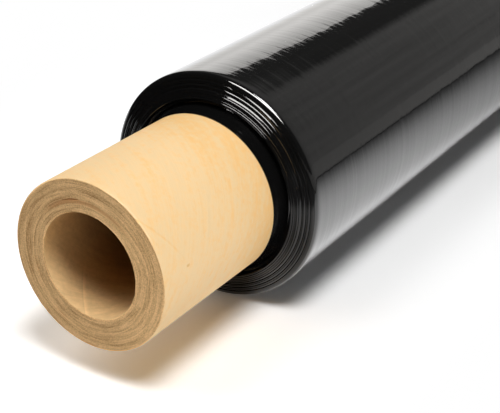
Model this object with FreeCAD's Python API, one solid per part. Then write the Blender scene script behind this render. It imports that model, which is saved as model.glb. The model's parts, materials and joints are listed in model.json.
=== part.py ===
import FreeCAD, Part
import math
import os

# A roll of stretch film, wound on a thick paperboard tube that stands out at both ends.
# The roll lies along Y on its film. The floor is Z = 0, and the origin is on it, under
# the middle of the roll. All sizes are in millimetres.

# Paperboard tube
tube_bore_radius = 19.0
tube_wall = 12.0
# It stands out this far past the outermost turn of the film, at each end.
tube_stand_out = 73.0
# The cut ends are square, with edges that are slightly worn.
tube_outer_edge_round = 0.6
tube_bore_edge_round = 0.4

# Wound film
# The width is that of the outermost turn. The turns below it wander a little further out.
film_width = 500.0
film_build = 13.35
# The first turn bears on the tube with this much to spare.
winding_clearance = 0.05
# The outermost turns draw in over a soft shoulder.
shoulder_depth = 2.4
shoulder_reach = 2.2
shoulder_rise = 0.65
# A ring of turns stands proud of the end, and the turns inside it sit a little back.
proud_ring_height = 5.85
proud_ring_reach = 3.9
hollow_ring_height = 2.85
hollow_ring_reach = 2.85
end_face_rise = 0.25
# The innermost turns climb out along the tube as a thin collar.
collar_reach = 8.8
collar_lip = 0.35
collar_sag = 0.45
# Its own weight flattens the underside of the film to a strip of this width.
flat_spot_width = 11.0

# Sizes that follow from those above
tube_length = film_width + 2 * tube_stand_out
tube_radius = tube_bore_radius + tube_wall
film_bore_radius = tube_radius + winding_clearance
film_radius = film_bore_radius + film_build
collar_end = film_width / 2 + collar_reach
axis_height = math.sqrt(film_radius ** 2 - (flat_spot_width / 2) ** 2)
roll_axis_point = FreeCAD.Vector(0, 0, 0)
roll_axis = FreeCAD.Vector(0, 1, 0)
full_turn = 360
half_corner = math.radians(45)


def at(radius, along):
    """A point of a half section, which is drawn in the plane X = 0 above the roll's axis."""
    return FreeCAD.Vector(0, along, radius)


def line(start, end):
    """A straight edge of a section."""
    return Part.LineSegment(start, end).toShape()


def bow(start, end, rise):
    """An arc between two points, standing off its chord by the rise, to the left as it runs."""
    chord = end - start
    side = FreeCAD.Vector(1, 0, 0).cross(chord)
    side.normalize()
    middle = (start + end) / 2 + side * rise
    return Part.Arc(start, middle, end).toShape()


def corner(centre_radius, centre_along, round_radius, out, end_side):
    """A quarter-round edge of the tube, from its side to its cut end or back."""
    on_side = at(centre_radius + out * round_radius, centre_along)
    on_end = at(centre_radius, centre_along + end_side * round_radius)
    reach = round_radius * math.cos(half_corner)
    middle = at(centre_radius + out * reach, centre_along + end_side * reach)
    return Part.Arc(on_side, middle, on_end).toShape()


def lathe(edges):
    """Turn a closed half section about the roll's axis, and lift it to where it lies."""
    wire = Part.Wire(Part.sortEdges(edges)[0])
    solid = Part.Face(wire).revolve(roll_axis_point, roll_axis, full_turn)
    solid.translate(FreeCAD.Vector(0, 0, axis_height))
    return solid


def make_tube():
    """The paperboard tube, open all the way through."""
    half = tube_length / 2
    outer_turn = tube_radius - tube_outer_edge_round
    bore_turn = tube_bore_radius + tube_bore_edge_round
    outer_stop = half - tube_outer_edge_round
    bore_stop = half - tube_bore_edge_round
    edges = [
        line(at(tube_radius, -outer_stop), at(tube_radius, outer_stop)),
        line(at(tube_bore_radius, -bore_stop), at(tube_bore_radius, bore_stop)),
    ]
    for end_side in (-1, 1):
        edges.append(corner(outer_turn, end_side * outer_stop, tube_outer_edge_round, 1, end_side))
        edges.append(corner(bore_turn, end_side * bore_stop, tube_bore_edge_round, -1, end_side))
        edges.append(line(at(bore_turn, end_side * half), at(outer_turn, end_side * half)))
    return lathe(edges)


def film_end(end_side):
    """The section of one end of the film, from the outermost turn down to the collar's lip."""
    def point(radius, reach):
        return at(radius, end_side * (film_width / 2 + reach))

    edge = point(film_radius, 0)
    shoulder = point(film_radius - shoulder_depth, shoulder_reach)
    proud = point(film_bore_radius + proud_ring_height, proud_ring_reach)
    hollow = point(film_bore_radius + hollow_ring_height, hollow_ring_reach)
    lip = point(film_bore_radius + collar_lip, collar_reach)
    foot = point(film_bore_radius, collar_reach)
    return [
        bow(edge, shoulder, -end_side * shoulder_rise),
        bow(shoulder, proud, -end_side * end_face_rise),
        line(proud, hollow),
        bow(hollow, lip, end_side * collar_sag),
        line(lip, foot),
    ]


def make_film():
    """All the turns of film as one solid, with the strip that its weight has flattened."""
    half = film_width / 2
    edges = [
        line(at(film_radius, -half), at(film_radius, half)),
        line(at(film_bore_radius, -collar_end), at(film_bore_radius, collar_end)),
    ]
    for end_side in (-1, 1):
        edges.extend(film_end(end_side))
    turns = lathe(edges)
    below_floor = Part.makeBox(
        2 * film_radius,
        2 * collar_end,
        film_radius,
        FreeCAD.Vector(-film_radius, -collar_end, -film_radius),
    )
    return turns.cut(below_floor).Solids[0]


def main():
    os.makedirs("parts", exist_ok=True)
    make_tube().exportStep("parts/cardboard_core.step")
    make_film().exportStep("parts/wound_film.step")


main()
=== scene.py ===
import json
import math
import random

import bmesh
import bpy
from bpy.props import FloatProperty, FloatVectorProperty, IntProperty, PointerProperty
from mathutils import Matrix, Vector, noise


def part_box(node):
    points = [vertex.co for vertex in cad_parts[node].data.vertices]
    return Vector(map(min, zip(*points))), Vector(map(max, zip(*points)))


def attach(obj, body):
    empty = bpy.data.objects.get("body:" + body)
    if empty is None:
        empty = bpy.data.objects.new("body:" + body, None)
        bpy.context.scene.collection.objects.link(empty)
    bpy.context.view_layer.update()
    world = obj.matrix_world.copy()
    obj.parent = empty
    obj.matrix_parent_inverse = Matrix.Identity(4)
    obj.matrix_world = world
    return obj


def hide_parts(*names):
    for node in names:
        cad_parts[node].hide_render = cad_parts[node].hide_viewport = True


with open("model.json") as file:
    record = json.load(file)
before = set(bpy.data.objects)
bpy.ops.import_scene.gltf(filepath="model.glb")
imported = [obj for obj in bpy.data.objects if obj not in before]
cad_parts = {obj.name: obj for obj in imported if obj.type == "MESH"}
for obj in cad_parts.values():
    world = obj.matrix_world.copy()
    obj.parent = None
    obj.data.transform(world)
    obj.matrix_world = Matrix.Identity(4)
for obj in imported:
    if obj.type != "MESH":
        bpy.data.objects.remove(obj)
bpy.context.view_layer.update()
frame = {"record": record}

# A roll of black stretch film on a thick paperboard tube. It lies along Y on a white floor,
# and all places are in metres in the frame of its two CAD nodes.

bl_info = {
    "name": "Stretch Wrap Roll",
    "version": (1, 0, 0),
    "blender": (4, 5, 0),
    "location": "View3D > Sidebar > Wrap Roll",
    "description": "A roll of black stretch film on a paperboard tube, with floor, lights and camera",
    "category": "Object",
}

MM = 0.001

# What the frame gives
MOUNTS = {mount["name"]: mount for mount in frame["record"]["mounts"]}
AXIS_HEIGHT = MOUNTS["core_bore"]["pos_m"][2]
BORE_RADIUS = MOUNTS["core_bore"]["dims"]["r_mm"] * MM
TUBE_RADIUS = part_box("cardboard_core")[1].x
TUBE_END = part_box("cardboard_core")[1].y
FILM_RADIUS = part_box("wound_film")[1].x
COLLAR_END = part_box("wound_film")[1].y

# The film stands this far off the tube, as in the CAD.
WINDING_CLEARANCE = 0.05 * MM

# The film's end, as radius and reach past its outermost turn, in mm. First comes the shoulder.
SHOULDER = ((44.40, 0.00), (44.30, 0.50), (44.02, 1.00), (43.62, 1.40), (43.10, 1.72))
# Then bands of turns from the outside inwards: the outer radius and the reach there, the width
# of the steep flank that the band starts with, and its reach at its inner edge.
BANDS = (
    (42.66, 1.90, 0.00, 2.09), (41.98, 1.86, 0.42, 2.39), (41.00, 2.30, 0.00, 2.46),
    (40.36, 2.22, 0.46, 2.77), (39.40, 2.66, 0.00, 2.78), (38.90, 2.55, 0.66, 3.23),
    (37.92, 3.08, 0.30, 3.46), (37.20, 3.34, 0.00, 3.55), (36.40, 3.48, 0.14, 3.75),
    (35.70, 3.62, 0.22, 3.98),
)
BANDS_END = 34.96
# How far a flank rises for each millimetre inwards
FLANK_SLOPE = 0.93
# A crevice of this width parts each band from the next. It is this much deeper than the
# outer edge of that next band.
CREVICE_WIDTH = 0.13
CREVICE_DEPTH = 0.14
# Inside the last band the turns lie far deeper, then climb the tube as a thin collar.
COLLAR = (
    (34.80, 3.88), (34.30, 1.60), (33.50, 1.30), (32.90, 1.70), (32.35, 3.20), (31.90, 5.20),
    (31.32, 8.80),
)
COLLAR_REACH = 8.8
# The shoulder is eased outside this radius.
EASED_FROM = 42.9

# Angles round the tube run from +X towards +Z, in degrees.
# Slits between the plies of the cut end: angle and half width in degrees, radius and depth in mm
SLITS = ((-165, 9, 23.5, 0.8), (-121, 7, 25.5, 0.7), (-95, 8, 30.2, 0.6), (104, 10, 23.7, 0.5))
SLIT_HALF_HEIGHT = 0.16 * MM
# A nick in each edge of the front end: angle and half width in degrees
BORE_NICK = (74, 2.2)
OUTER_NICK = (46, 1.6)
NICK_DEPTH = 0.35 * MM
# Where the seams of the outside and of the bore meet the front end
SIDE_SEAM = 47.5
BORE_SEAM = -98.5
# A small dark mark on the outside of the tube
MARK_TURN = 7
MARK_DEPTH = 12.9 * MM

# Faces round each piece, and how steep an edge between two faces has to be to show as sharp
TUBE_STEPS = 320
FILM_STEPS = 240
SHARP_ANGLE = math.radians(27)
# How long a row of faces may be where nothing shows
LONG_STEP = 90 * MM

# What the soft boxes and the front card face: a point inside the near end of the roll
NEAR_END = Vector((0, 0.05 - TUBE_END, AXIS_HEIGHT))
# Soft boxes: width, depth and distance in metres, turn and rise in degrees, and whether the
# film mirrors it. Mirrored, the overhead one would show as grey lines on the film's end.
SOFT_BOXES = {
    "key": (0.5, 0.5, 1.5, 128, 67.5, True),
    "overhead": (2.0, 2.0, 2.4, 250, 54, False),
    "side": (0.5, 0.3, 1.2, 95, 4, False),
}


def colour(name, default, description):
    """A colour that the panel shows."""
    return FloatVectorProperty(
        name=name, description=description, default=default, subtype="COLOR", size=3, min=0, max=1
    )


def length(name, default, description):
    """A length that the panel shows."""
    return FloatProperty(
        name=name, description=description, default=default, unit="LENGTH", precision=5
    )


class WrapRollTube(bpy.types.PropertyGroup):
    """Sizes and colours of the paperboard tube."""

    plies: IntProperty(
        name="Plies", description="Layers of board in the wall", default=15, min=2
    )
    ply_relief: length("Ply relief", 0.16 * MM, "How unevenly the plies are cut at the ends")
    outer_round: length("Outer edge", 0.6 * MM, "Rounding of the outer edge of a cut end")
    bore_round: length("Bore edge", 0.4 * MM, "Rounding of the bore's edge at a cut end")
    seam_pitch: length("Seam pitch", 119 * MM, "Length of tube that one turn of the seam takes")
    side: colour("Side", (0.99, 0.71, 0.385), "Kraft liner on the outside")
    cut: colour("Cut end", (0.62, 0.40, 0.19), "Board where it is cut")
    bore: colour("Bore", (0.76, 0.50, 0.24), "Kraft liner in the bore")


class WrapRollFilm(bpy.types.PropertyGroup):
    """Sizes and colour of the wound film."""

    ripple: length("Ripple", 0.08 * MM, "Depth of the ribs that run round the roll")
    wander: length("Wander", 0.16 * MM, "How far the turns wander at the ends")
    tint: colour("Film", (0.004, 0.004, 0.004), "Black film")


class WrapRollStage(bpy.types.PropertyGroup):
    """Camera, lights and floor."""

    camera_place: FloatVectorProperty(
        name="Camera place",
        description="Where the camera stands",
        default=(0.23506, -0.59044, 0.24081),
        subtype="TRANSLATION",
        size=3,
    )
    camera_turn: FloatProperty(
        name="Camera turn",
        description="Turn of the view from +Y towards -X",
        default=math.radians(32.8225),
        subtype="ANGLE",
    )
    camera_dip: FloatProperty(
        name="Camera dip",
        description="How far the camera looks below the horizon",
        default=math.radians(26.4067),
        subtype="ANGLE",
    )
    lens: FloatProperty(name="Lens", description="Focal length in mm", default=89.21, min=1)
    key_radiance: FloatProperty(
        name="Key", description="Radiance of the soft box high at the right", default=19.6, min=0
    )
    overhead_radiance: FloatProperty(
        name="Overhead", description="Radiance of the large soft box overhead", default=2.1, min=0
    )
    side_radiance: FloatProperty(
        name="Side", description="Radiance of the soft box at the right", default=8.5, min=0
    )
    card_radiance: FloatProperty(
        name="Card",
        description="Radiance of the card that the film's end mirrors",
        default=20.0,
        min=0,
    )
    fill_radiance: FloatProperty(
        name="Fill", description="Radiance of the room in diffuse light", default=0.01, min=0
    )
    floor: colour("Floor", (0.86, 0.86, 0.86), "White floor")


class Value:
    """A socket of a finish's nodes, which stands in an expression like a number."""

    def __init__(self, finish, node, output):
        self.finish = finish
        self.node = node
        self.socket = node.outputs[output] if node.outputs else None

    def output(self, name):
        """Another output of the same node."""
        return Value(self.finish, self.node, name)

    def maths(self, operation, first, second):
        """A Math node on two values."""
        return self.finish.node(
            "ShaderNodeMath", {"operation": operation}, {0: first, 1: second}
        )

    def __add__(self, other):
        return self.maths("ADD", self, other)

    def __sub__(self, other):
        return self.maths("SUBTRACT", self, other)

    def __rsub__(self, other):
        return self.maths("SUBTRACT", other, self)

    def __mul__(self, other):
        return self.maths("MULTIPLY", self, other)

    def __truediv__(self, other):
        return self.maths("DIVIDE", self, other)

    def __pow__(self, other):
        return self.maths("POWER", self, other)

    def __rtruediv__(self, other):
        return self.maths("DIVIDE", other, self)

    __radd__ = __add__
    __rmul__ = __mul__


class Finish:
    """A material, or the world, whose nodes are added one by one."""

    def __init__(self, owner):
        owner.use_nodes = True
        self.owner = owner
        self.nodes = owner.node_tree.nodes
        self.links = owner.node_tree.links
        self.nodes.clear()

    def node(self, kind, settings=None, sockets=None, output=0):
        """A new node, with its settings made first and then its sockets."""
        node = self.nodes.new(kind)
        for name, setting in (settings or {}).items():
            setattr(node, name, setting)
        for name, value in (sockets or {}).items():
            if isinstance(value, Value):
                self.links.new(value.socket, node.inputs[name])
            else:
                node.inputs[name].default_value = value
        return Value(self, node, output)

    def size(self, value):
        """A value without its sign."""
        return self.node("ShaderNodeMath", {"operation": "ABSOLUTE"}, {0: value})

    def angle(self, aside, ahead):
        """The angle of a direction from its two parts, in degrees, from -180 to 180."""
        turn = self.node("ShaderNodeMath", {"operation": "ARCTAN2"}, {0: aside, 1: ahead})
        return turn * math.degrees(1)

    def vector(self, x, y, z):
        """A vector of three values."""
        return self.node("ShaderNodeCombineXYZ", sockets={"X": x, "Y": y, "Z": z})

    def noise(self, vector, detail=2.0, roughness=0.5):
        """Noise from about -1 to 1, with cells one unit of the vector across."""
        found = self.node(
            "ShaderNodeTexNoise",
            sockets={"Vector": vector, "Scale": 1.0, "Detail": detail, "Roughness": roughness},
            output="Fac",
        )
        return (found - 0.5) * 2.0

    def between(self, value, low, high):
        """0 where the value is low, 1 where it is high, and a smooth rise between."""
        return self.node(
            "ShaderNodeMapRange",
            {"interpolation_type": "SMOOTHSTEP"},
            {"Value": value, "From Min": low, "From Max": high},
        )

    def mix(self, share, first, second):
        """Two colours mixed."""
        return self.node(
            "ShaderNodeMix", {"data_type": "RGBA"}, {0: share, 6: first, 7: second}, output=2
        )

    def shade(self, base, amount):
        """A colour made lighter or darker by an amount about 1."""
        return self.node(
            "ShaderNodeVectorMath", {"operation": "SCALE"}, {0: base, "Scale": amount}
        )

    def bump(self, height):
        """A normal bent by a height in metres."""
        return self.node(
            "ShaderNodeBump", sockets={"Height": height, "Distance": 1.0, "Strength": 1.0}
        )

    def surface(self, sockets):
        """Finish the material with a Principled surface."""
        shader = self.node("ShaderNodeBsdfPrincipled", sockets=sockets)
        self.node("ShaderNodeOutputMaterial", sockets={"Surface": shader})
        return self.owner


class Place:
    """Where a point of the roll is: its distance from the axis, direction and place along it."""

    def __init__(self, finish):
        at = finish.node("ShaderNodeTexCoord", output="Object")
        split = finish.node("ShaderNodeSeparateXYZ", sockets={"Vector": at})
        self.finish = finish
        self.x = split.output("X")
        self.along = split.output("Y")
        self.z = split.output("Z") - AXIS_HEIGHT
        self.radius = (self.x * self.x + self.z * self.z) ** 0.5
        self.right = self.x / self.radius
        self.up = self.z / self.radius
        self.even = finish.vector(self.x, self.along, self.z)

    def rings(self, round_cells, per_metre):
        """Cells that run round the roll and change quickly with the radius."""
        return self.finish.vector(
            self.right * round_cells, self.up * round_cells, self.radius * per_metre
        )

    def ribs(self, round_cells, per_metre):
        """Cells that run round the roll and change quickly along it."""
        return self.finish.vector(
            self.right * round_cells, self.up * round_cells, self.along * per_metre
        )

    def grain(self, pitch, across, along):
        """Cells drawn out along a spiral of that pitch, which is how the board is wound.

        There are so many of them for each metre, across and along.
        """
        twist = self.finish.node(
            "ShaderNodeVectorRotate",
            {"rotation_type": "Y_AXIS"},
            {"Vector": self.even, "Angle": self.along * (math.tau / pitch)},
        )
        return self.finish.node(
            "ShaderNodeVectorMath",
            {"operation": "MULTIPLY"},
            {0: twist, 1: (across, along, across)},
        )

    def seam(self, pitch, start):
        """Distance round the tube from a spiral seam, by its angle at the front end, in degrees."""
        turns = self.turn(0) * (1 / 360) - start / 360 + (self.along + TUBE_END) / pitch + 0.5
        part = self.finish.node("ShaderNodeMath", {"operation": "FRACT"}, {0: turns}) - 0.5
        return part * self.radius * math.tau

    def depth(self):
        """Distance from the nearer end of the tube."""
        return TUBE_END - self.finish.size(self.along)

    def turn(self, centre_degrees):
        """The angle round the axis from a direction, in degrees, from -180 to 180."""
        centre = math.radians(centre_degrees)
        ahead = self.right * math.cos(centre) + self.up * math.sin(centre)
        aside = self.up * math.cos(centre) - self.right * math.sin(centre)
        return self.finish.angle(aside, ahead)


def toned(base, shares):
    """A colour with each of its parts scaled by a share."""
    return (*[part * share for part, share in zip(base, shares)], 1)


def kraft_side(tube):
    """Smooth kraft liner, faintly mottled, with fibres, a seam along the winding and painted shade
    near the film.
    """
    finish = Finish(bpy.data.materials.new("kraft_side"))
    place = Place(finish)
    clouds = finish.noise(place.grain(tube.seam_pitch, 170, 70), 4.0, 0.6)
    blotches = finish.noise(finish.shade(place.even, 420), 3.0, 0.6)
    fibres = finish.noise(place.grain(tube.seam_pitch, 1500, 130), 2.0, 0.6)
    specks = finish.noise(place.grain(tube.seam_pitch, 1100, 500), 1.0)
    speck = finish.between(specks, 0.50, 0.70)
    depth = place.depth()
    crease = 1 - finish.between(finish.size(place.seam(tube.seam_pitch, SIDE_SEAM)), 0, 1.5 * MM)
    crease = crease * (1 - finish.between(depth, 5 * MM, 15 * MM))
    aside = finish.between(finish.size(place.turn(MARK_TURN)), 0.2, 1.2)
    along = finish.between(finish.size(depth - MARK_DEPTH), 0.3 * MM, 1.1 * MM)
    mark = (1 - aside) * (1 - along)
    amount = 1.0 + 0.06 * clouds + 0.05 * blotches + 0.04 * fibres - 0.08 * speck - 0.11 * mark
    deep = toned(tube.side, (0.97, 0.84, 0.62))
    # Painted shade: the side turns darker and more orange towards the film.
    film_shade = finish.between(depth, 30 * MM, 64 * MM)
    mottle_and_shade = 0.35 + 0.9 * clouds + 0.8 * blotches + 0.5 * film_shade + 0.4 * crease + 1.2 * mark
    base = finish.mix(finish.between(mottle_and_shade, 0.0, 1.3), (*tube.side, 1), deep)
    height = 0.008 * MM * fibres + 0.03 * MM * clouds - 0.02 * MM * crease
    return finish.surface({
        "Base Color": finish.shade(base, amount),
        "Roughness": 0.58 + 0.08 * fibres,
        "Normal": finish.bump(height),
        "Specular IOR Level": 0.5,
    })


def kraft_cut(tube):
    """Cut board: fuzzy plies, some darker and one redder, with a pale liner at each face."""
    finish = Finish(bpy.data.materials.new("kraft_cut"))
    place = Place(finish)
    streaks = finish.noise(place.rings(2.2, 1500), 3.0, 0.62)
    plies = finish.noise(place.rings(1.1, 620), 2.0)
    fuzz = finish.noise(finish.shade(place.even, 2600), 2.0, 0.7)
    lines = finish.noise(place.rings(1.6, 2300), 1.0)
    tone = 0.5 * streaks + 0.35 * plies + 0.45 * fuzz - 0.25 * finish.between(lines, 0.15, 0.45)
    brown = toned(tube.cut, (0.50, 0.40, 0.28))
    pale = toned(tube.cut, (1.42, 1.45, 1.50))
    base = finish.mix(finish.between(tone, -0.62, 0.48), brown, pale)
    top = finish.between(place.up, 0.55, 0.95)
    ring_starts = finish.between(place.radius, 22.0 * MM, 22.6 * MM)
    ring_ends = finish.between(place.radius, 23.2 * MM, 24.0 * MM)
    red = top * (ring_starts - ring_ends) * (0.5 + 0.6 * streaks + 0.5 * fuzz)
    base = finish.mix(red, base, toned(tube.cut, (0.86, 0.62, 0.48)))
    bore_liner = 1.0 - finish.between(place.radius, BORE_RADIUS + 0.5 * MM, BORE_RADIUS + 1.3 * MM)
    skin = finish.between(place.radius, TUBE_RADIUS - 0.9 * MM, TUBE_RADIUS - 0.45 * MM)
    right = finish.between(place.right, 0.3, 0.95)
    amount = 1.0 + 0.10 * fuzz + 0.25 * bore_liner + 0.22 * skin + 0.14 * right
    height = 0.05 * MM * streaks + 0.05 * MM * fuzz
    return finish.surface({
        "Base Color": finish.shade(base, amount),
        "Roughness": 0.9,
        "Normal": finish.bump(height),
        "Specular IOR Level": 0.15,
    })


def kraft_bore(tube):
    """Browner liner in the bore, mottled, with its seam, a few stray fibres, and painted shade deeper
    in and higher up.
    """
    finish = Finish(bpy.data.materials.new("kraft_bore"))
    place = Place(finish)
    clouds = finish.noise(place.grain(tube.seam_pitch, 260, 120), 4.0, 0.6)
    blotches = finish.noise(finish.shade(place.even, 620), 3.0, 0.6)
    fibres = finish.noise(place.grain(tube.seam_pitch, 1800, 160), 2.0, 0.6)
    seam = place.seam(tube.seam_pitch, BORE_SEAM)
    near = 1 - finish.between(place.depth(), 9 * MM, 20 * MM)
    crease = near * (1 - finish.between(finish.size(seam), 0.08 * MM, 0.6 * MM))
    lap_starts = finish.between(seam, -0.1 * MM, 0.2 * MM)
    lap_ends = finish.between(seam, 0.3 * MM, 2.5 * MM)
    lap = near * (lap_starts - lap_ends)
    amount = 1.0 + 0.22 * clouds + 0.16 * blotches + 0.10 * fibres - 0.08 * crease + 0.16 * lap
    # Painted shade: the bore is darker and warmer deeper in and towards its top.
    depth_shade = finish.between(place.depth(), 6 * MM, 38 * MM)
    above = finish.between(place.up, -0.5, 0.6)
    amount = amount * (1 - 0.55 * depth_shade) * (1 - 0.3 * above)
    deep = toned(tube.bore, (1.0, 0.84, 0.62))
    base = finish.mix(1 - (1 - 0.8 * depth_shade) * (1 - 0.8 * above), (*tube.bore, 1), deep)
    height = 0.04 * MM * clouds + 0.01 * MM * fibres + 0.06 * MM * lap
    return finish.surface({
        "Base Color": finish.shade(base, amount),
        "Roughness": 0.8,
        "Normal": finish.bump(height),
        "Specular IOR Level": 0.2,
    })


def film_gloss(film, name, layers, coat):
    """Glossy black film, finely lined by its turns.

    Each layer of lines is a function of the place that gives the noise's cells, and a height.
    """
    finish = Finish(bpy.data.materials.new(name))
    place = Place(finish)
    height = sum(deep * finish.noise(lines(place), 1.0) for lines, deep in layers)
    return finish.surface({
        "Base Color": (*film.tint, 1),
        "Roughness": 0.07,
        "IOR": 1.48,
        "Coat Weight": coat,
        "Coat Roughness": 0.025,
        "Coat IOR": 1.5,
        "Normal": finish.bump(height),
    })


def half_section(corners, rounds, step_at):
    """A closed section above the axis, from its half in front of the middle.

    The corners run from the outside to the bore as (radius, along). A corner that rounds
    names is rounded by that much, and step_at gives how long a run's rows may be.
    """
    bm = bmesh.new()
    verts = [bm.verts.new((0, along, radius)) for radius, along in corners]
    for first, second in zip(verts, verts[1:]):
        bm.edges.new((first, second))
    for number, radius, segments in rounds:
        bmesh.ops.bevel(
            bm,
            geom=[verts[number]],
            offset=radius,
            affect="VERTICES",
            segments=segments,
            profile=0.5,
            material=-1,
        )
    for edge in bm.edges[:]:
        middle = (edge.verts[0].co + edge.verts[1].co) / 2
        cuts = math.ceil(edge.calc_length() / step_at(middle.z, middle.y)) - 1
        if cuts > 0:
            bmesh.ops.subdivide_edges(bm, edges=[edge], cuts=cuts)
    return bm


def smooth_section(bm, chosen, times):
    """Ease the chosen points of a section towards their neighbours."""
    for _ in range(times):
        bmesh.ops.smooth_vert(
            bm, verts=chosen, factor=0.5, use_axis_x=True, use_axis_y=True, use_axis_z=True
        )


def spin_section(bm, steps):
    """Spin a half section about the axis, and mirror it to the roll's other end."""
    bmesh.ops.spin(
        bm,
        geom=bm.verts[:] + bm.edges[:],
        cent=(0, 0, 0),
        axis=(0, 1, 0),
        angle=math.tau,
        steps=steps,
        use_merge=True,
    )
    half = bm.verts[:] + bm.edges[:] + bm.faces[:]
    bmesh.ops.mirror(bm, geom=half, matrix=Matrix(), merge_dist=0.001 * MM, axis="Y")
    bmesh.ops.remove_doubles(bm, verts=bm.verts[:], dist=0.001 * MM)
    bmesh.ops.recalc_face_normals(bm, faces=bm.faces[:])


def finish_piece(bm, name, node, materials):
    """Make a piece of a mesh that is drawn about the axis, in the place of a CAD node."""
    bmesh.ops.translate(bm, verts=bm.verts[:], vec=(0, 0, AXIS_HEIGHT))
    mesh = bpy.data.meshes.new(name)
    bm.to_mesh(mesh)
    bm.free()
    mesh.shade_smooth()
    mesh.set_sharp_from_angle(angle=SHARP_ANGLE)
    for material in materials:
        mesh.materials.append(material)
    piece = bpy.data.objects.new(name, mesh)
    bpy.context.scene.collection.objects.link(piece)
    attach(piece, "root")
    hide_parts(node)
    return piece


def wobble(turn, round_cells, along):
    """A smooth random number from about -1 to 1, which closes on itself round the roll."""
    return noise.noise(
        Vector((math.cos(turn) * round_cells, math.sin(turn) * round_cells, along))
    )


def place_of(vert):
    """A vertex's distance from the axis, its angle from +X towards +Z, and its place along."""
    return math.hypot(vert.co.x, vert.co.z), math.atan2(vert.co.z, vert.co.x), vert.co.y


def put(vert, radius, turn, along):
    """Move a vertex to a place given as place_of gives it."""
    vert.co = (radius * math.cos(turn), along, radius * math.sin(turn))


def degrees_apart(turn, degrees):
    """How far an angle in radians is from one in degrees, in degrees."""
    return abs((math.degrees(turn) - degrees + 180) % 360 - 180)


def nicked(turn, centre, half_width):
    """1 in the middle of a nick, falling to 0 at its sides."""
    return max(0, 1 - degrees_apart(turn, centre) / half_width)


def tube_section(tube):
    """The half section of the tube, with close rows where it shows."""
    # The rows are closest as far in as near, and no row is needed further in than far.
    near = 20 * MM
    far = 66 * MM
    skin = 0.1 * MM
    corners = (
        (TUBE_RADIUS, 0),
        (TUBE_RADIUS, far - TUBE_END),
        (TUBE_RADIUS, near - TUBE_END),
        (TUBE_RADIUS, -TUBE_END),
        (BORE_RADIUS, -TUBE_END),
        (BORE_RADIUS, near - TUBE_END),
        (BORE_RADIUS, far - TUBE_END),
        (BORE_RADIUS, 0),
    )
    rounds = ((3, tube.outer_round, 3), (4, tube.bore_round, 3))

    def step_at(radius, along):
        """How long a row may be at a place of the section."""
        if along > far - TUBE_END:
            return LONG_STEP
        if along > near - TUBE_END:
            return 2.2 * MM
        if BORE_RADIUS + skin < radius < TUBE_RADIUS - skin:
            return 0.2 * MM
        return 0.9 * MM if radius > TUBE_RADIUS - skin else 1.2 * MM

    return half_section(corners, rounds, step_at)


def weather_cut_end(bm, tube):
    """Cut the plies unevenly, with a groove between each two, and open a few slits."""
    groove_width = 0.2
    fuzz_grain = 0.5 * MM
    chance = random.Random(7)
    heights = [chance.random() for _ in range(tube.plies + 1)]
    ply = (TUBE_RADIUS - BORE_RADIUS) / tube.plies
    for vert in bm.verts:
        radius, turn, along = place_of(vert)
        end = math.copysign(1, along)
        if abs(along) < TUBE_END - tube.outer_round:
            continue
        number = (radius - BORE_RADIUS) / ply
        share = number - math.floor(number)
        groove = math.exp(-((min(share, 1 - share) / groove_width) ** 2))
        level = heights[min(int(number), tube.plies)] + 0.7 * wobble(turn, 1.2, number + 40 * end)
        fuzz = wobble(turn, 26, radius / fuzz_grain)
        depth = tube.ply_relief * max(0, 0.5 * level + 0.35 * groove + 0.3 * fuzz)
        if end < 0:
            for centre, width, at, deep in SLITS:
                reach = degrees_apart(turn, centre) / width
                if reach < 1 and abs(radius - at * MM) < SLIT_HALF_HEIGHT:
                    depth += deep * MM * (1 - reach * reach)
        edge = max(0, TUBE_END - abs(along)) / tube.outer_round
        put(vert, radius, turn, along - end * depth * (1 - edge))


def fray_edges(bm):
    """Nick the front end's two edges, and let the bore's edge run a little ragged."""
    frayed = 1.2 * MM
    bore_edge = 0.6 * MM
    outer_edge = 0.7 * MM
    raggedness = 0.34 * MM
    for vert in bm.verts:
        radius, turn, along = place_of(vert)
        depth = TUBE_END - abs(along)
        if depth > frayed:
            continue
        fade = 1 - depth / frayed
        if radius < BORE_RADIUS + bore_edge:
            ragged = max(0, wobble(turn, 14, 3 * along / TUBE_END))
            near = 1 - (radius - BORE_RADIUS) / bore_edge
            radius += raggedness * ragged * near * fade
            if along < 0:
                radius += NICK_DEPTH * nicked(turn, *BORE_NICK) * near * fade
        if along < 0 and radius > TUBE_RADIUS - outer_edge:
            radius -= NICK_DEPTH * nicked(turn, *OUTER_NICK) * fade
        put(vert, radius, turn, along)


def sort_tube_faces(bm):
    """Give each face of the tube its finish: 0 for the side, 1 for a cut end, 2 for the bore.

    The liners run a little way into the rounding of their edges.
    """
    bore_liner = 0.12 * MM
    side_liner = 0.35 * MM
    for face in bm.faces:
        middle = face.calc_center_median()
        radius = math.hypot(middle.x, middle.z)
        if radius < BORE_RADIUS + bore_liner:
            face.material_index = 2
        elif radius < TUBE_RADIUS - side_liner:
            face.material_index = 1


class WRAPROLL_OT_tube(bpy.types.Operator):
    """Make the paperboard tube, with its plies showing at the cut ends"""

    bl_idname = "wrap_roll.tube"
    bl_label = "Paperboard Tube"

    def execute(self, context):
        tube = context.scene.wrap_roll_tube
        bm = tube_section(tube)
        spin_section(bm, TUBE_STEPS)
        sort_tube_faces(bm)
        weather_cut_end(bm, tube)
        fray_edges(bm)
        finishes = [kraft_side(tube), kraft_cut(tube), kraft_bore(tube)]
        finish_piece(bm, "spiral_wound_tube", "cardboard_core", finishes)
        return {"FINISHED"}


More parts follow.
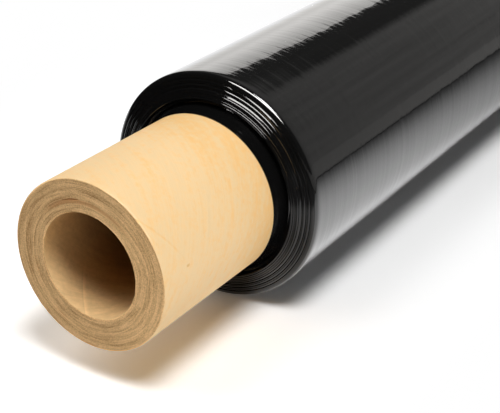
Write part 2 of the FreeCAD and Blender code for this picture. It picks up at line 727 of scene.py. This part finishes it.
def film_section():
    """The half section of the film: its side, shoulder, bands and collar, and its bore."""
    edge = COLLAR_END - COLLAR_REACH * MM
    bore = TUBE_RADIUS + WINDING_CLEARANCE
    profile = list(SHOULDER)
    next_starts = [band[:2] for band in BANDS[1:]] + [(BANDS_END, None)]
    for (outer, reach, flank, inner_reach), (inner, next_reach) in zip(BANDS, next_starts):
        profile.append((outer, reach))
        if flank:
            profile.append((outer - flank, reach + FLANK_SLOPE * flank))
        profile.append((inner + CREVICE_WIDTH, inner_reach))
        if next_reach:
            profile.append((inner + CREVICE_WIDTH / 2, next_reach - CREVICE_DEPTH))
    profile += COLLAR
    corners = [(FILM_RADIUS, 0)]
    corners += [(radius * MM, -edge - reach * MM) for radius, reach in profile]
    corners += [(bore, -COLLAR_END), (bore, 0)]

    def step_at(radius, along):
        """How long a row may be at a place of the section."""
        if along < -edge:
            on_bands = along > -edge - 5 * MM
            return 0.33 * MM if on_bands else 0.8 * MM
        on_side = radius > bore + 1 * MM
        return 2.3 * MM if on_side else LONG_STEP

    bm = half_section(corners, (), step_at)
    shoulder = [v for v in bm.verts if v.co.y < -edge + 1 * MM and v.co.z > EASED_FROM * MM]
    smooth_section(bm, shoulder, 4)
    return bm


def weave_film(bm, film):
    """Ripple the side, and let the turns wander at the ends. Nearly all of it moves inwards."""
    edge = COLLAR_END - COLLAR_REACH * MM
    fine_rib = 4.3 * MM
    broad_rib = 19 * MM
    slow_turns = 1.6 * MM
    quick_turns = 0.45 * MM
    # The outermost turns wander less, out to none at the film's radius.
    steadier = 2.4 * MM
    for vert in bm.verts:
        radius, turn, along = place_of(vert)
        end = math.copysign(1, along)
        past = abs(along) - edge
        if radius > FILM_RADIUS - 0.01 * MM:
            fine = wobble(turn, 0.5, along / fine_rib)
            broad = wobble(turn, 0.8, along / broad_rib)
            radius -= film.ripple * max(0, 0.5 + 0.45 * fine + 0.4 * broad)
        elif past > 0 and radius > TUBE_RADIUS + 0.3 * MM:
            share = min(1, (FILM_RADIUS - radius) / steadier)
            slow = wobble(turn, 1.3, radius / slow_turns + 50 * end)
            quick = wobble(turn, 3.5, radius / quick_turns + 90 * end)
            along -= end * film.wander * share * (0.4 + 0.6 * slow + 0.1 * quick)
        put(vert, radius, turn, along)
        # The underside lies flat on the floor.
        vert.co.z = max(vert.co.z, -AXIS_HEIGHT)


class WRAPROLL_OT_film(bpy.types.Operator):
    """Make the wound film, with the bands of turns at its ends"""

    bl_idname = "wrap_roll.film"
    bl_label = "Wound Film"

    def execute(self, context):
        film = context.scene.wrap_roll_film
        bm = film_section()
        spin_section(bm, FILM_STEPS)
        for face in bm.faces:
            middle = face.calc_center_median()
            radius = math.hypot(middle.x, middle.z)
            face.material_index = 0 if radius > FILM_RADIUS - 0.8 * MM else 1
        weave_film(bm, film)
        side_lines = (
            (lambda place: place.ribs(0.5, 430), 0.055 * MM),
            (lambda place: place.ribs(1.2, 1150), 0.010 * MM),
        )
        end_lines = ((lambda place: place.rings(1.6, 2600), 0.007 * MM),)
        finishes = [
            film_gloss(film, "film_side", side_lines, 1.0),
            film_gloss(film, "film_end", end_lines, 0.0),
        ]
        finish_piece(bm, "wound_film_turns", "wound_film", finishes)
        return {"FINISHED"}


def stage_mesh(bm, name, material):
    """A floor, card or room of the stage."""
    mesh = bpy.data.meshes.new(name)
    bm.to_mesh(mesh)
    bm.free()
    mesh.materials.append(material)
    thing = bpy.data.objects.new(name, mesh)
    bpy.context.scene.collection.objects.link(thing)
    return thing


def seen(finish):
    """1 for a ray from the camera, or one that a gloss or a clear piece passes on."""
    path = finish.node("ShaderNodeLightPath", output="Is Camera Ray")
    return path + path.output("Is Glossy Ray") + path.output("Is Transmission Ray")


def white_world(stage):
    """White behind everything that is seen, and a dimmer room in diffuse light."""
    world = bpy.data.worlds.new("white_room")
    bpy.context.scene.world = world
    finish = Finish(world)
    strength = stage.fill_radiance + (1.0 - stage.fill_radiance) * seen(finish)
    light = finish.node(
        "ShaderNodeBackground", sockets={"Color": (1, 1, 1, 1), "Strength": strength}
    )
    finish.node("ShaderNodeOutputWorld", sockets={"Surface": light})
    world.cycles.sampling_method = "NONE"


def white_floor(stage):
    """The floor, which clips to white wherever the roll leaves it in the light.

    Away from the roll it shows as plain white. In the film's gloss it is even at the left and
    dims away from the near end at the right, as under a near lamp. There it is also dark in
    front of the film, save at the right, and far in front.
    """
    shown_white = 1.30
    pool_level = 1.6
    pool_size = 0.22
    pool_x = 0.05
    pool_y = -0.22
    fade = 0.3
    finish = Finish(bpy.data.materials.new("white_floor"))
    path = finish.node("ShaderNodeLightPath", output="Is Camera Ray")
    clear = path + path.output("Is Transmission Ray")
    gloss = path.output("Is Glossy Ray")
    at = finish.node("ShaderNodeTexCoord", output="Object")
    split = finish.node("ShaderNodeSeparateXYZ", sockets={"Vector": at})
    x = split.output("X")
    y = split.output("Y")
    right = finish.between(x, 0.0, 0.05)

    # What the film's gloss mirrors
    aside = (x - pool_x) / pool_size
    along = (y - pool_y) / pool_size
    pool = 1 / (1 + aside * aside + along * along)
    in_front = 1 - finish.between(y, -0.30, -0.255)
    not_right = 1 - finish.between(x, 0.02, 0.085)
    far_in_front = 1 - finish.between(y, -0.37, -0.34)
    level = pool_level * (1 + right * (pool - 1))
    level = level * (1 - 0.85 * in_front * not_right) * (1 - 0.8 * far_in_front)
    base = finish.mix(clear, (*stage.floor, 1), (shown_white, shown_white, shown_white, 1))
    base = finish.mix(gloss, base, finish.shade((1, 1, 1), level))
    lit = finish.node("ShaderNodeBsdfDiffuse", sockets={"Color": base})

    # The plain white away from the roll, which starts further out at the left
    white = finish.node("ShaderNodeEmission", sockets={"Color": (1, 1, 1, 1), "Strength": 1.0})
    past_end = finish.between(finish.size(y), TUBE_END, TUBE_END + fade) * fade
    beside = x * (0.45 + 0.55 * right)
    away = (beside * beside + past_end * past_end) ** 0.5
    back_left = (1 - right) * finish.between(y, -0.2, 0.0)
    shown = clear + gloss * back_left
    far = shown * finish.between(away, 0.04, 0.10)
    surface = finish.node("ShaderNodeMixShader", sockets={0: far, 1: lit, 2: white})
    finish.node("ShaderNodeOutputMaterial", sockets={"Surface": surface})
    finish.owner.cycles.emission_sampling = "NONE"
    bm = bmesh.new()
    bmesh.ops.create_grid(bm, x_segments=1, y_segments=1, size=4.0)
    stage_mesh(bm, "floor", finish.owner)


def glow(name, strength):
    """The surface of a thing that shows only in gloss, with its radiance.

    The radiance is a number, or a value in the nodes of a finish that this then completes.
    """
    if isinstance(strength, Value):
        finish = strength.finish
    else:
        finish = Finish(bpy.data.materials.new(name))
    tinted = finish.shade((1.0, 0.98, 0.95), strength)
    lamp = finish.node("ShaderNodeEmission", sockets={"Color": tinted, "Strength": 1.0})
    finish.node("ShaderNodeOutputMaterial", sockets={"Surface": lamp})
    finish.owner.cycles.emission_sampling = "NONE"
    return finish.owner


def mirrored_mesh(bm, name, radiance):
    """A thing of the stage that shows only to the rays that a gloss mirrors."""
    thing = stage_mesh(bm, name, glow(name, radiance))
    thing.visible_camera = False
    thing.visible_diffuse = False
    thing.visible_transmission = False
    thing.visible_shadow = False


def dark_room():
    """The dark room that the film mirrors, open at the back left to the white behind it."""
    finish = Finish(bpy.data.materials.new("dark_room"))
    at = finish.node("ShaderNodeTexCoord", output="Object")
    way = finish.node("ShaderNodeVectorMath", {"operation": "NORMALIZE"}, {0: at})
    split = finish.node("ShaderNodeSeparateXYZ", sockets={"Vector": way})
    rise = finish.node("ShaderNodeMath", {"operation": "ARCSINE"}, {0: split.output("Z")})
    rise = rise * math.degrees(1)
    turn = finish.angle(split.output("X"), split.output("Y"))
    clouds = finish.noise(finish.shade(way, 12), 3.0, 0.6)

    # The room is greyer behind, but not round the opening.
    behind = finish.between(split.output("Y"), -0.1, 0.5)
    left = finish.between(turn, -62, -50) - finish.between(turn, -2, 6)
    rim = left * (1 - finish.between(rise, 38.0, 46.0))
    grey = (0.03 + behind * 0.19 * (1 - 0.95 * rim)) * (1 + 0.4 * clouds)

    # The opening's top edge is lower straight behind, and it is brightest about halfway up.
    top = rise + 7 * finish.between(turn, -24, -12)
    opening = left * (1 - finish.between(top, 30.6, 31.2))
    bright = 1.0 + 0.40 * finish.between(rise, 6, 16) - 0.15 * finish.between(rise, 19, 30)
    light = grey + opening * (bright - grey)
    bm = bmesh.new()
    bmesh.ops.create_uvsphere(bm, u_segments=64, v_segments=32, radius=3.0)
    mirrored_mesh(bm, "dark_room", light)


def flat_card(wide, deep):
    """A flat card about the origin, wide along X and deep along Y."""
    bm = bmesh.new()
    bmesh.ops.create_grid(bm, x_segments=1, y_segments=1, size=0.5)
    bmesh.ops.scale(bm, verts=bm.verts[:], vec=(wide, deep, 1))
    return bm


def upright_card(name, radiance, x, start, end, height):
    """A card along Y that stands on the floor and shows only in gloss."""
    bm = flat_card(height, end - start)
    bmesh.ops.rotate(bm, verts=bm.verts[:], matrix=Matrix.Rotation(math.pi / 2, 3, "Y"))
    bmesh.ops.translate(bm, verts=bm.verts[:], vec=(x, (start + end) / 2, height / 2))
    mirrored_mesh(bm, name, radiance)


def dark_cards():
    """What ends the floor in the film's gloss: a dark strip and a low grey wall at the right,
    and a dark wall at the left.
    """
    floor_end = 0.37
    gap = 0.055
    bm = flat_card(gap, 5)
    bmesh.ops.translate(bm, verts=bm.verts[:], vec=(floor_end + gap / 2, 0, 1 * MM))
    mirrored_mesh(bm, "dark_strip", 0.02)
    upright_card("low_wall", radiance=0.28, x=floor_end + gap, start=-2.5, end=2.5, height=0.10)
    upright_card("left_wall", radiance=0.02, x=-0.5, start=-1.6, end=0.15, height=0.4)


def direction(turn, rise):
    """A way out of the roll, by its turn from +Y towards +X and its rise, in degrees."""
    turn = math.radians(turn)
    rise = math.radians(rise)
    flat = math.cos(rise)
    return Vector((math.sin(turn) * flat, math.cos(turn) * flat, math.sin(rise)))


def soft_box(name, radiance, wide, deep, distance, way):
    """A soft box of an even radiance, which faces the near end of the roll."""
    light = bpy.data.lights.new(name, "AREA")
    light.shape = "RECTANGLE"
    light.size = wide
    light.size_y = deep
    light.energy = radiance * math.pi * wide * deep
    lamp = bpy.data.objects.new(name, light)
    lamp.location = NEAR_END + distance * way
    lamp.rotation_euler = way.to_track_quat("Z", "Y").to_euler()
    lamp.visible_camera = False
    bpy.context.scene.collection.objects.link(lamp)
    return lamp


def front_card(stage):
    """The bright card in front, which the film's end mirrors as streaks."""
    distance = 1.2
    way = direction(172, 51)
    bm = flat_card(wide=1.05, deep=0.32)
    bmesh.ops.rotate(bm, verts=bm.verts[:], matrix=way.to_track_quat("Z", "Y").to_matrix())
    bmesh.ops.translate(bm, verts=bm.verts[:], vec=NEAR_END + distance * way)
    mirrored_mesh(bm, "front_card", stage.card_radiance)


def photo_camera(stage):
    """The camera, where the photo was taken from."""
    data = bpy.data.cameras.new("camera")
    data.sensor_width = 36
    data.lens = stage.lens
    camera = bpy.data.objects.new("camera", data)
    camera.location = stage.camera_place
    camera.rotation_euler = (math.pi / 2 - stage.camera_dip, 0, stage.camera_turn)
    bpy.context.scene.collection.objects.link(camera)
    bpy.context.scene.camera = camera


class WRAPROLL_OT_stage(bpy.types.Operator):
    """Set the camera, the soft boxes, the white floor and what the film mirrors"""

    bl_idname = "wrap_roll.stage"
    bl_label = "Stage"

    def execute(self, context):
        stage = context.scene.wrap_roll_stage
        photo_camera(stage)
        white_world(stage)
        white_floor(stage)
        dark_room()
        dark_cards()
        front_card(stage)
        for name, (wide, deep, distance, turn, rise, mirrored) in SOFT_BOXES.items():
            radiance = getattr(stage, f"{name}_radiance")
            lamp = soft_box(f"{name}_box", radiance, wide, deep, distance, direction(turn, rise))
            lamp.visible_glossy = mirrored
        context.scene.view_settings.view_transform = "Standard"
        return {"FINISHED"}


class WRAPROLL_PT_panel(bpy.types.Panel):
    """Sizes and colours of the roll, and what makes its pieces"""

    bl_idname = "WRAPROLL_PT_panel"
    bl_label = "Wrap Roll"
    bl_space_type = "VIEW_3D"
    bl_region_type = "UI"
    bl_category = "Wrap Roll"

    def draw(self, context):
        groups = (
            (context.scene.wrap_roll_tube, "wrap_roll.tube"),
            (context.scene.wrap_roll_film, "wrap_roll.film"),
            (context.scene.wrap_roll_stage, "wrap_roll.stage"),
        )
        for group, maker in groups:
            box = self.layout.box()
            for name in group.__annotations__:
                box.prop(group, name)
            box.operator(maker)


CLASSES = (
    WrapRollTube,
    WrapRollFilm,
    WrapRollStage,
    WRAPROLL_OT_tube,
    WRAPROLL_OT_film,
    WRAPROLL_OT_stage,
    WRAPROLL_PT_panel,
)


def register():
    """Add the classes and the three groups of settings to Blender."""
    for each in CLASSES:
        bpy.utils.register_class(each)
    bpy.types.Scene.wrap_roll_tube = PointerProperty(type=WrapRollTube)
    bpy.types.Scene.wrap_roll_film = PointerProperty(type=WrapRollFilm)
    bpy.types.Scene.wrap_roll_stage = PointerProperty(type=WrapRollStage)


def unregister():
    """Take them out again."""
    del bpy.types.Scene.wrap_roll_stage
    del bpy.types.Scene.wrap_roll_film
    del bpy.types.Scene.wrap_roll_tube
    for each in reversed(CLASSES):
        bpy.utils.unregister_class(each)


def main():
    """Build the roll on its stage."""
    register()
    bpy.ops.wrap_roll.stage()
    bpy.ops.wrap_roll.tube()
    bpy.ops.wrap_roll.film()


if __name__ == "__main__":
    main()
